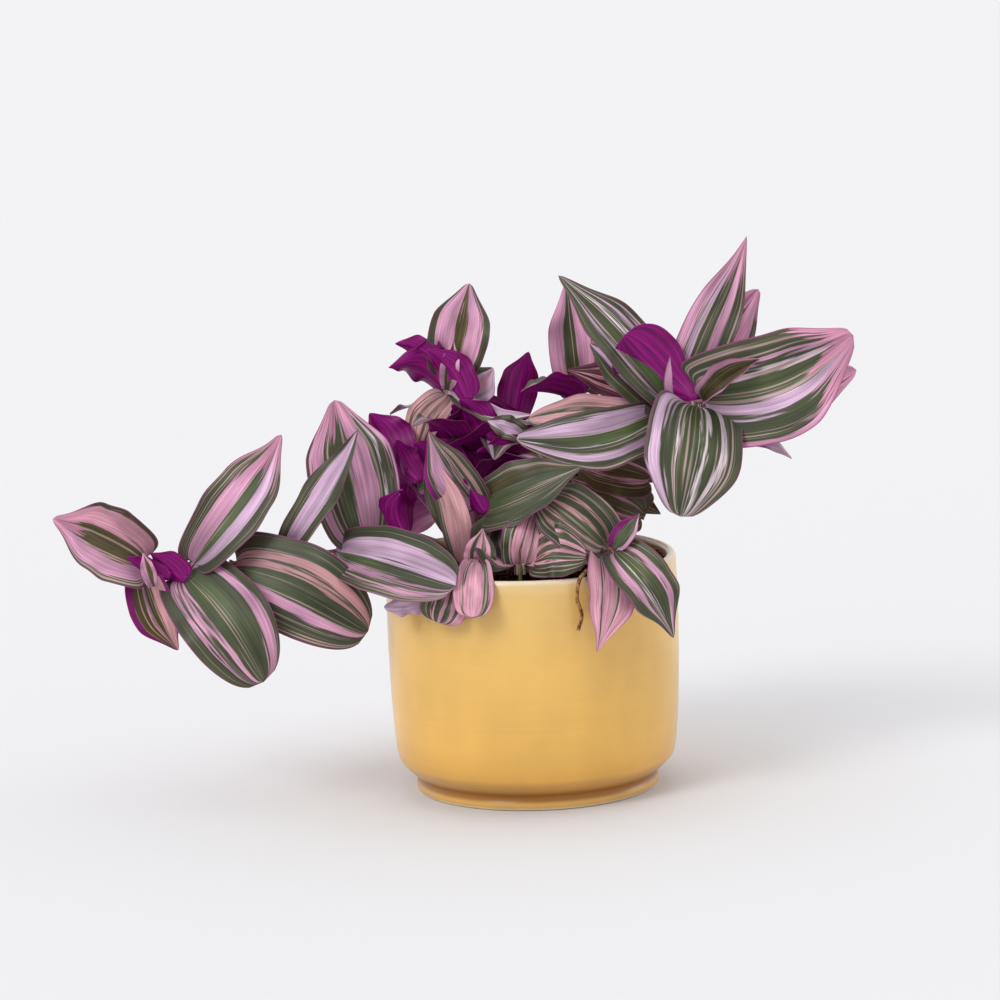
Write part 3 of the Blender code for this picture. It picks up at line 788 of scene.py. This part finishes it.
# %% Purple underside
purple_underside, tree, shader = new_material(
    "violet_leaf_underside", Roughness=0.40, Specular_IOR_Level=0.22,
    Subsurface_Weight=0.10, Subsurface_Scale=0.002)
vein = noise(tree, add_node(tree, "ShaderNodeUVMap", uv_map="blade").outputs[0], (16, 0.8, 1))
violet = ramp(tree, vein, [(0.3, "#4A033A"), (0.5, "#82086A"), (0.72, "#B0109A")])
dress(tree, shader, violet, vein, 0.3, 0.0008)
print("stripe colours", len(STRIPE_COLOURS))

# %% [markdown]
# Leaf blades
#
# A blade is a thin closed shell. Its middle surface is a grid of places: u runs from base
# to tip and v from edge to edge. The outline is round at the base and pointed at the tip,
# the two halves fold up along the midrib, and the whole bows along its length. The shell
# is thickest along the midrib and thins to its margin.

# %% Shape of a blade
ALONG, ACROSS = 56, 26
SHEATH_HALF_WIDTH, TIP_HALF_WIDTH = 3.0, 0.15
LOBE_SHARE = 0.30  # the share of the length over which the base's corners reach back
POINT_FROM, CURL_FROM, HOOK_FROM = 0.60, 0.60, 0.55  # shares of the length where these start
CREASE = 0.1  # roundness of the fold along the midrib
BLADE_THICKNESS = 0.7
WAVES = 2.6  # ruffles along one margin


def half_width(leaf, u):
    """Half a blade's width at shares u of its length."""
    shares = np.clip(u, 0, 1)
    widest = leaf.roundness / (leaf.roundness + leaf.taper)
    outline = (shares / widest) ** leaf.roundness * ((1 - shares) / (1 - widest)) ** leaf.taper
    late = np.clip((shares - POINT_FROM) / (1 - POINT_FROM), 0, 1)
    outline *= 1 - leaf.point * late * late * (3 - 2 * late)
    least = np.where(shares < widest, SHEATH_HALF_WIDTH, TIP_HALF_WIDTH)
    return np.maximum(least, leaf.width / 2 * outline)


def middle_surface(leaf, u, v, seed):
    """Places of a blade's middle surface: local X is its side, Y its length, Z its face."""
    half = half_width(leaf, u)
    fold = math.radians(leaf.fold)
    crease = np.sqrt(v * v + CREASE ** 2) - CREASE
    inner = np.clip(u, 0, 1)
    bow = np.sin(math.pi * inner)
    wave = np.sin(math.tau * WAVES * inner + seed + 1.7 * np.sign(v)) * np.abs(v) ** 2.5 * bow
    curled, hooked = (np.clip((inner - start) / (1 - start), 0, 1) ** 2
                      for start in (CURL_FROM, HOOK_FROM))
    lobed = np.sin(math.pi * np.clip(inner / LOBE_SHARE, 0, 1) ** 0.6)
    return np.stack((
        half * math.cos(fold) * v + leaf.sway * bow + leaf.hook * hooked,
        leaf.length * u - leaf.width * leaf.lobe * v * v * lobed,
        half * (math.sin(fold) * crease + leaf.cup * v * v)
        + leaf.arch * bow + leaf.ruffle * wave + leaf.curl * curled,
    ), axis=-1)


def blade_mesh(name, leaf, matrix, neck, seed, upper, under):
    """A thin closed blade. neck is how far it reaches back into its stem, in millimetres."""
    u = np.concatenate((np.linspace(-neck / leaf.length, 0, 3)[:-1],
                        np.linspace(0, 1, ALONG + 1) ** 1.1))
    v = np.sin(np.linspace(-1, 1, ACROSS + 1) * math.pi / 2)
    grid_u, grid_v = np.meshgrid(u, v, indexing="ij")
    place = middle_surface(leaf, grid_u, grid_v, seed)
    along_step = np.gradient(place, axis=0)
    across_step = np.gradient(place, axis=1)
    normal = np.cross(across_step, along_step)
    normal /= np.linalg.norm(normal, axis=2, keepdims=True) + 1e-9
    thick = BLADE_THICKNESS / 2 * (0.35 + 0.65 * (1 - np.abs(grid_v) ** 3))[..., None]
    upper_places = (place + normal * thick).reshape(-1, 3)
    lower_places = (place - normal * thick).reshape(-1, 3)
    rows, columns = grid_u.shape
    index = np.arange(rows * columns).reshape(rows, columns)
    quads = np.stack((index[:-1, :-1], index[:-1, 1:], index[1:, 1:], index[1:, :-1]), axis=-1)
    quads = quads.reshape(-1, 4)
    loop = np.concatenate((index[0, :], index[1:, -1], index[-1, -2::-1], index[-2:0:-1, 0]))
    after = np.roll(loop, -1)
    below = rows * columns
    rim = np.stack((loop, loop + below, after + below, after), axis=-1)
    faces = np.concatenate((quads, quads[:, ::-1] + below, rim))
    mesh = bpy.data.meshes.new(name)
    places = np.concatenate((upper_places, lower_places)) * MM
    mesh.from_pydata(places.tolist(), [], faces.tolist())
    mesh.materials.append(upper)
    mesh.materials.append(under)
    slots = np.zeros(len(faces), int)
    slots[len(quads):2 * len(quads)] = 1
    mesh.polygons.foreach_set("material_index", slots)
    flat = np.stack(((grid_v + 1) / 2, grid_u), axis=-1).reshape(-1, 2)
    both = np.concatenate((flat, flat))
    corners = np.zeros(len(mesh.loops), int)
    mesh.loops.foreach_get("vertex_index", corners)
    places_on_blade = both[corners].astype(np.float32).ravel()
    mesh.uv_layers.new(name="blade").data.foreach_set("uv", places_on_blade)
    mesh.transform(matrix)
    mesh.validate()
    return mesh


print("blade grid", ALONG, "by", ACROSS)


# %% Place each blade on its stem
STEM_TAPER = 0.25  # the share of its radius that a stem loses along its length
LEAST_SLANT = 0.42  # keeps the base of a leaf that follows its stem close to it


def direction(heading, rise):
    """A unit direction from a heading and a rise, in degrees."""
    heading, rise = math.radians(heading), math.radians(rise)
    level = math.cos(rise)
    return Vector((math.cos(heading) * level, math.sin(heading) * level, math.sin(rise)))


def leaf_axes(leaf):
    """The blade's length, side and upper-face directions."""
    chord = direction(leaf.heading, leaf.rise)
    face = direction(leaf.face_heading, leaf.face_rise)
    face = (face - chord * face.dot(chord)).normalized()
    return chord, chord.cross(face), face


def stem_route(stem):
    """The CAD stem's own route, with its first point above the soil."""
    x, y, low = stem.route[0]
    first = Vector((x, y, low + (ROOTED_DEPTH + CAD_START)))
    return [first, *(Vector(p) for p in smooth(stem.route[1:], 2))]


def along_route(route, share):
    """Place and direction at a share of a route's length."""
    lengths = [(b - a).length for a, b in zip(route, route[1:])]
    left = share * sum(lengths)
    for start, end, length in zip(route, route[1:], lengths):
        tangent = (end - start).normalized()
        if left <= length:
            return start + tangent * left, tangent
        left -= length
    return route[-1], tangent


def leaf_base(leaf, stem):
    """Where the blade starts, and how far that is from the stem's middle."""
    place, tangent = along_route(stem_route(stem), leaf.at)
    chord = leaf_axes(leaf)[0]
    radius = stem.radius * (1 - STEM_TAPER * leaf.at)
    slant = math.sqrt(1 - min(1.0, abs(chord.dot(tangent))) ** 2)
    reach = (radius + 2 * GAP) / max(slant, LEAST_SLANT)
    if leaf.at == 1.0:
        reach = radius * slant + GAP
    return place + chord * reach, reach


def make_blade(name, leaf, base, neck, seed, node):
    """A blade in its own stripes, which hides its CAD node. seed shifts its waves and stripes."""
    chord, side, face = leaf_axes(leaf)
    matrix = Matrix.Translation(base * MM) @ Matrix((side, chord, face)).transposed().to_4x4()
    upper = striped_leaf(f"variegated_leaf_{name}", leaf.stripes, seed, leaf.tone, leaf.blush)
    blade = place_object(name, blade_mesh(name, leaf, matrix, neck, seed, upper, purple_underside))
    return finish_piece(blade, SLOTS[node], node)


SLOTS = {m["node"]: m["material_slot"] for m in frame["record"]["subparts"]}
NECK = 0.9  # how much of the way back to its stem's middle a blade's neck reaches
blades = []
for stem_name, leaves in LEAVES.items():
    for number, leaf in enumerate(leaves, start=1):
        node = f"{stem_name}_leaf_{number}"
        base, reach = leaf_base(leaf, STEMS[stem_name])
        blades.append(make_blade(f"blade_{stem_name}_{number}", leaf, base, reach * NECK,
                                 1.37 * len(blades) + 0.5, node))
print("blades", len(blades), "faces each", len(blades[0].data.polygons))

# %% [markdown]
# Lower leaves
#
# The plant is dense inside, where the front leaves hide it. Lower leaves climb the inner
# and rear stems, each turned by the golden angle from the one under it, as buds are. A
# leaf that would leave the pot's mouth below its lip, or come forward of the plant's
# middle, is left out.

# %% Add the lower leaves
LOWER_STEMS = ("centre_tall", "centre_left", "centre", "centre_right", "right_crown",
               "back_left", "back_right")
LOWER_SHARES = (0.22, 0.38, 0.54, 0.68)  # where the leaves sit along each stem
LOWER_STRIPES = ("green -.5 pink -.2 green .4 lavender .7 green", PLAIN,
                 "green -.6 lavender -.3 green .3 pink .6 green")
GOLDEN_ANGLE, FIRST_TURN = 137.5, 40
FRONT_LIMIT, LIP_CLEARANCE, MOUTH_CLEARANCE = -22.0, 6.0, 12
lower = []
for stem_name in LOWER_STEMS:
    for step, share in enumerate(LOWER_SHARES):
        kind = step % len(LOWER_STRIPES)
        turn = GOLDEN_ANGLE * (len(lower) + step) + FIRST_TURN
        heading = (turn + 180) % 360 - 180
        # Lower leaves lie in the plant's shade, so their tone of 0.8 is painted shade
        leaf = Leaf(share, heading, 14 + 8 * kind, 40 + 3 * kind, 27, 0.50, heading + 180, 62,
                    5, 12, LOWER_STRIPES[kind], 1.2, -4, 0.5, tone=0.8, sway=2)
        base, reach = leaf_base(leaf, STEMS[stem_name])
        tip = base + leaf_axes(leaf)[0] * leaf.length
        outside = math.hypot(tip.x, tip.y) > POT_LIP_RADIUS - MOUTH_CLEARANCE
        low = min(base.z, tip.z) - leaf.width * 0.35 < POT_HEIGHT + LIP_CLEARANCE
        if min(base.y, tip.y) < FRONT_LIMIT or (outside and low):
            continue
        lower.append(make_blade(f"lower_blade_{stem_name}_{step + 1}", leaf, base, reach * NECK,
                                0.9 * len(lower) + 0.3, f"{stem_name}_leaf_1"))
print("lower leaves", len(lower))

# %% [markdown]
# Small leaves and young shoots
#
# Between the large leaves sit young, rolled and half-hidden ones. They are the same blades,
# each given by where it starts and where it ends. A face heading of -90 turns the striped
# side to the front, and 90 turns the purple side there.

# %% Add the small leaves
Small = namedtuple("Small", f"node base tip {SHAPE}", defaults=(*SHAPE_DEFAULTS, 0.42))
SMALL_NECK = 2.0  # a small leaf's neck reaches this far back
SMALL_LEAVES = [
    Small("left_runner_leaf_1", (-186, -28, 121), (-213, -30, 131), 12, 0.7, 90, 20, 1, 20,
          "purple"),
    Small("left_runner_leaf_1", (-193, -34, 119), (-197, -34, 135), 9, 0.8, -90, 10, 1, 30,
          "pink -.2 olive .5 pink"),
    Small("left_runner_leaf_1", (-178, -27, 119), (-194, -30, 134), 17, 0.9, 90, 20, 2, 20,
          "purple", 0.5),
    Small("centre_left_leaf_1", (-66, -14, 138), (-65, -18, 160), 20, 0.5, 90, 20, 3, 25,
          "lavender", 0.5, cup=0.20, sway=3),
    Small("centre_left_leaf_1", (-64, -19, 138), (-66, -20, 158), 12, 0.5, 90, 20, 3, 25,
          "lavender", 0.5, cup=0.20, sway=3),
    Small("centre_left_leaf_1", (-57, 0, 162), (-67, 0, 183), 18, 0.6, 90, 15, 3, 22,
          "purple", 1.0, sway=3),
    Small("centre_left_leaf_1", (-62, 2, 149), (-62, 2, 168), 10, 0.7, 90, 10, 2, 20, "purple"),
    Small("centre_tall_leaf_1", (-33, 22, 201), (-16, 22, 215), 20, 0.5, -90, 20, 2, 10,
          "green -.5 lavender -.1 rose .3 lavender", sway=2),
    Small("centre_tall_leaf_3", (-45, 14, 222), (-66, 12, 231), 12, 0.6, 90, 10, 2, 25,
          "purple", 1.0, sway=-2),
    Small("centre_tall_leaf_3", (-30, 8, 202), (-50, 8, 228), 20, 0.6, 90, 20, 3, 14,
          "purple", 1.2, sway=-3),
    Small("centre_tall_leaf_1", (-40, 13, 208), (-36, 12, 232), 11, 0.7, -90, 10, 1, 22,
          "pink -.5 olive .5 pink"),
    Small("front_left_leaf_1", (-23, -40, 152), (-33, -43, 169), 13, 0.8, 90, 10, 2, 22,
          "purple", 0.5),
    Small("centre_leaf_1", (-38, 12, 204), (6, 10, 192), 12, 0.8, -100, 50, -3, 12,
          "lavender -.3 white .4 green", 1.0, sway=5),
    Small("centre_leaf_1", (-2, 2, 183), (-20, 2, 191), 13, 0.5, -90, 20, 2, 14,
          "green -.5 lavender .5 green", 2.0),
    Small("centre_leaf_1", (-19, 6, 181), (-34, 4, 202), 17, 0.6, 90, 20, 3, 20,
          "purple", 1.0, sway=-2),
    # A leaf deep behind the right crown, in maroon that is painted shade
    Small("right_crown_leaf_11", (66, 8, 198), (22, 8, 215), 20, 0.6, -90, 20, 2, 10,
          "maroon -.5 salmon -.4 maroon -.1 salmon 0 maroon .4 salmon .5 maroon", sway=2),
    Small("right_crown_leaf_9", (110, -10, 178), (135, -10, 168), 6, 0.5, -90, 20, 1, 16,
          "white -.3 lavender", sway=-3),
    Small("front_left_leaf_3", (-27, -52, 124), (-24, -53, 145), 17, 0.7, -90, 10, 2, 14,
          "rose -.6 green -.3 rose .1 green .3 rose .6 green"),
    Small("front_trailing_leaf_1", (-41, -67, 118), (-48, -71, 101), 24, 0.30, -95, 0, 1, 4,
          "rose -.7 green -.5 rose -.3 green -.1 rose .1 green .3 rose .5 green", 1.0, 0, 0.0),
    # This leaf's tone of 0.75 is painted shade
    Small("front_trailing_leaf_1", (-52, -60, 111), (-75, -58, 107), 12, 0.5, -80, -20, 1, 10,
          "lavender", 1.6, 0, 0.2, tone=0.75),
    Small("front_left_leaf_3", (-35, -41, 126), (-50, -42, 183), 16, 0.8, -90, 10, 2, 12,
          "green -.7 salmon", 1.0, sway=3),
    Small("front_stub_leaf_1", (-5, -54, 124), (3, -52, 153), 26, 0.4, -80, 20, 6, 10,
          "green -.6 rose -.2 green -.1 rose .2 green .3 rose", 1.5, -3, 0.1, cup=-0.15, sway=-2),
    Small("front_stub_leaf_1", (2, -57, 129), (26, -69, 133), 29, 0.4, -80, 20, 7, 6,
          "green -.7 rose -.6 green -.35 rose -.2 green 0 rose .15 green .4 rose .5 green",
          1.0, -3, 0.1, cup=-0.15, sway=-3),
    Small("centre_right_leaf_3", (58, 2, 140), (22, -2, 160), 30, 0.6, -90, 20, 3, 10,
          "olive -.5 rose -.4 olive .1 rose .2 olive"),
    Small("centre_right_leaf_3", (62, -4, 160), (18, -8, 172), 30, 0.6, -90, 20, 3, 10,
          "olive -.4 rose -.3 olive .2 rose .3 olive"),
    Small("centre_right_leaf_3", (22, 6, 158), (-6, 4, 172), 28, 0.6, -90, 20, 3, 10,
          "olive -.3 rose -.2 olive .3 rose .4 olive"),
    Small("centre_leaf_2", (-26, 12, 160), (-50, 10, 190), 26, 0.6, 90, 20, 3, 12, "purple", 1.0),
    Small("centre_leaf_1", (-20, 16, 176), (-38, 14, 198), 22, 0.6, 90, 20, 3, 12, "purple", 1.0),
    Small("centre_leaf_2", (4, 0, 168), (-26, -4, 176), 24, 0.6, 90, 20, 3, 12, "purple", 1.0),
    Small("centre_leaf_2", (24, 14, 158), (-24, 14, 172), 40, 0.5, 90, 20, 3, 12, "purple", 1.0),
    Small("centre_leaf_2", (-34, 4, 158), (-58, 6, 180), 26, 0.5, 90, 20, 3, 12, "purple", 1.0),
]


def from_ends(small):
    """A blade's numbers from the points where it starts and ends."""
    span = Vector(small.tip) - Vector(small.base)
    heading = math.degrees(math.atan2(span.y, span.x))
    rise = math.degrees(math.asin(span.z / span.length))
    return Leaf(0, heading, rise, span.length, *small[3:])


for number, small in enumerate(SMALL_LEAVES, start=1):
    make_blade(f"small_blade_{number}", from_ends(small), Vector(small.base), SMALL_NECK,
               2.11 * number + 0.2, small.node)
print("small leaves", len(SMALL_LEAVES))

# %% [markdown]
# Stems
#
# A stem is a fleshy tube that swells at each node, where a leaf clasps it. Geometry Nodes
# sweep a circle along the stem's route. The route's points carry a radius each, wider near
# every leaf, and the tree stores how far round and along each point is, so the skin can
# have fine lengthwise lines and a purple tint at its nodes.

# %% Sweep tree for stems
sweep, given = new_group("tube_along_route", "Tube", Route="Geometry", Sides="Int",
                         Thickness="Float", Material="Material")
circle = add_node(sweep, "GeometryNodeCurvePrimitiveCircle", {
    "Resolution": given["Sides"], "Radius": given["Thickness"]}, mode="RADIUS")
parameter = add_node(sweep, "GeometryNodeSplineParameter").outputs
around = stored(sweep, circle.outputs["Curve"], "around", parameter["Factor"])
lengthwise = stored(sweep, given["Route"], "along", parameter["Length"])
tube = add_node(sweep, "GeometryNodeCurveToMesh", {
    "Curve": lengthwise, "Profile Curve": around, "Fill Caps": True})
finish_group(sweep, tube.outputs[0], given["Material"])
print("sweep nodes", len(sweep.nodes))


# %% Skins of the stems
def stem_skin(name, skin_colour, line_colour, tint):
    """A fleshy stem's skin with lengthwise lines and tinted nodes."""
    material, tree, shader = new_material(name, Roughness=0.36, Subsurface_Weight=0.12,
                                          Subsurface_Scale=0.002)
    skin_map = join(tree, attribute(tree, "around"), attribute(tree, "along"), 0.0)
    lines = noise(tree, skin_map, (26, 30, 1))
    line_share = remap(tree, lines, 0.40, 0.62, 0.0, 1.0)
    lined = mix(tree, line_share, linear(skin_colour), linear(line_colour))
    tinted = mix(tree, attribute(tree, "swelling"), lined, linear(tint))
    dress(tree, shader, tinted, lines, 0.3, 0.0004)
    return material


STEM_SKINS = {
    "green": stem_skin("fleshy_green_stem", "#6E6A3C", "#8E6A62", "#8C4A62"),
    "purple": stem_skin("fleshy_purple_stem", "#7A2A62", "#9A5A7A", "#6A1A58"),
    "cut": stem_skin("cut_green_stem", "#4E5A26", "#76803C", "#5A6230"),
}
print("skins", list(STEM_SKINS))

# %% Make the stems
SWELL, SWELL_LENGTH = 0.32, 3.2  # how much wider a node is, and half its length
STEM_STEP = 1.2
NODE_TINT = 0.8
ROUNDED_STEPS = 4  # the last steps round off the stem's end
for stem_name, stem in STEMS.items():
    route = [Vector(stem.route[0]), *stem_route(stem)]
    total = sum((b - a).length for a, b in zip(route, route[1:]))
    count = max(8, round(total / STEM_STEP))
    cad_length = total - (route[1] - route[0]).length
    nodes_at = [total - cad_length * (1 - leaf.at) for leaf in LEAVES[stem_name]]
    places, radii, swellings = [], [], []
    for step in range(count + 1):
        here = total * step / count
        near = max((math.exp(-((here - node_at) / SWELL_LENGTH) ** 2) for node_at in nodes_at),
                   default=0.0)
        end = 1.0
        if step > count - ROUNDED_STEPS:
            end = min(1.0, math.sqrt(max(0.02, (total - here) / 2.0)))
        places.append(along_route(route, here / total)[0])
        radii.append(stem.radius * (1 - STEM_TAPER * here / total) * (1 + SWELL * near) * end)
        swellings.append(near)
    tube_piece = made_by(sweep, line_object(f"route_{stem_name}", places, radii),
                         f"fleshy_stem_{stem_name}", Sides=18, Thickness=MM,
                         Material=STEM_SKINS[stem.skin])
    swelling = tube_piece.data.attributes.new("swelling", "FLOAT", "POINT")
    along_values = np.zeros(len(tube_piece.data.vertices), np.float32)
    tube_piece.data.attributes["along"].data.foreach_get("value", along_values)
    shares = np.interp(along_values / MM, np.linspace(0, total, count + 1), swellings)
    swelling.data.foreach_set("value", (shares * NODE_TINT).astype(np.float32))
    outward(tube_piece.data)
    finish_piece(tube_piece, SLOTS[f"{stem_name}_stem"], f"{stem_name}_stem")
print("stem faces", len(tube_piece.data.polygons))

# %% [markdown]
# Aerial root
#
# A dry root hangs over the lip. It is the same kind of tube, thin and kinked, with a
# papery brown skin.

# %% Make the aerial root
ROOT_ROUTE = [(33.6, -52.5, 128.3), (32, -58, 126), (26, -70, 123.5), (23, -76.5, 120),
              (22, -78, 112), (24, -78, 104), (22, -78, 96)]
ROOT_RADIUS, ROOT_UNEVEN = 0.8, 0.15
root_skin, tree, shader = new_material("dry_root_skin", Roughness=0.8)
fibres = noise(tree, add_node(tree, "ShaderNodeTexCoord").outputs["Object"], 500.0)
dress(tree, shader, ramp(tree, fibres, [(0.35, "#4A2813"), (0.65, "#C08A4A")]))
root_places = [Vector(p) for p in smooth(ROOT_ROUTE, 8)]
root_radii = [ROOT_RADIUS + ROOT_UNEVEN * math.sin(i * 1.9) for i in range(len(root_places))]
root_piece = made_by(sweep, line_object("root_route", root_places, root_radii), "dry_aerial_root",
                     Sides=10, Thickness=MM, Material=root_skin)
outward(root_piece.data)
finish_piece(root_piece, "dry_root", "aerial_root")
print("root faces", len(root_piece.data.polygons))
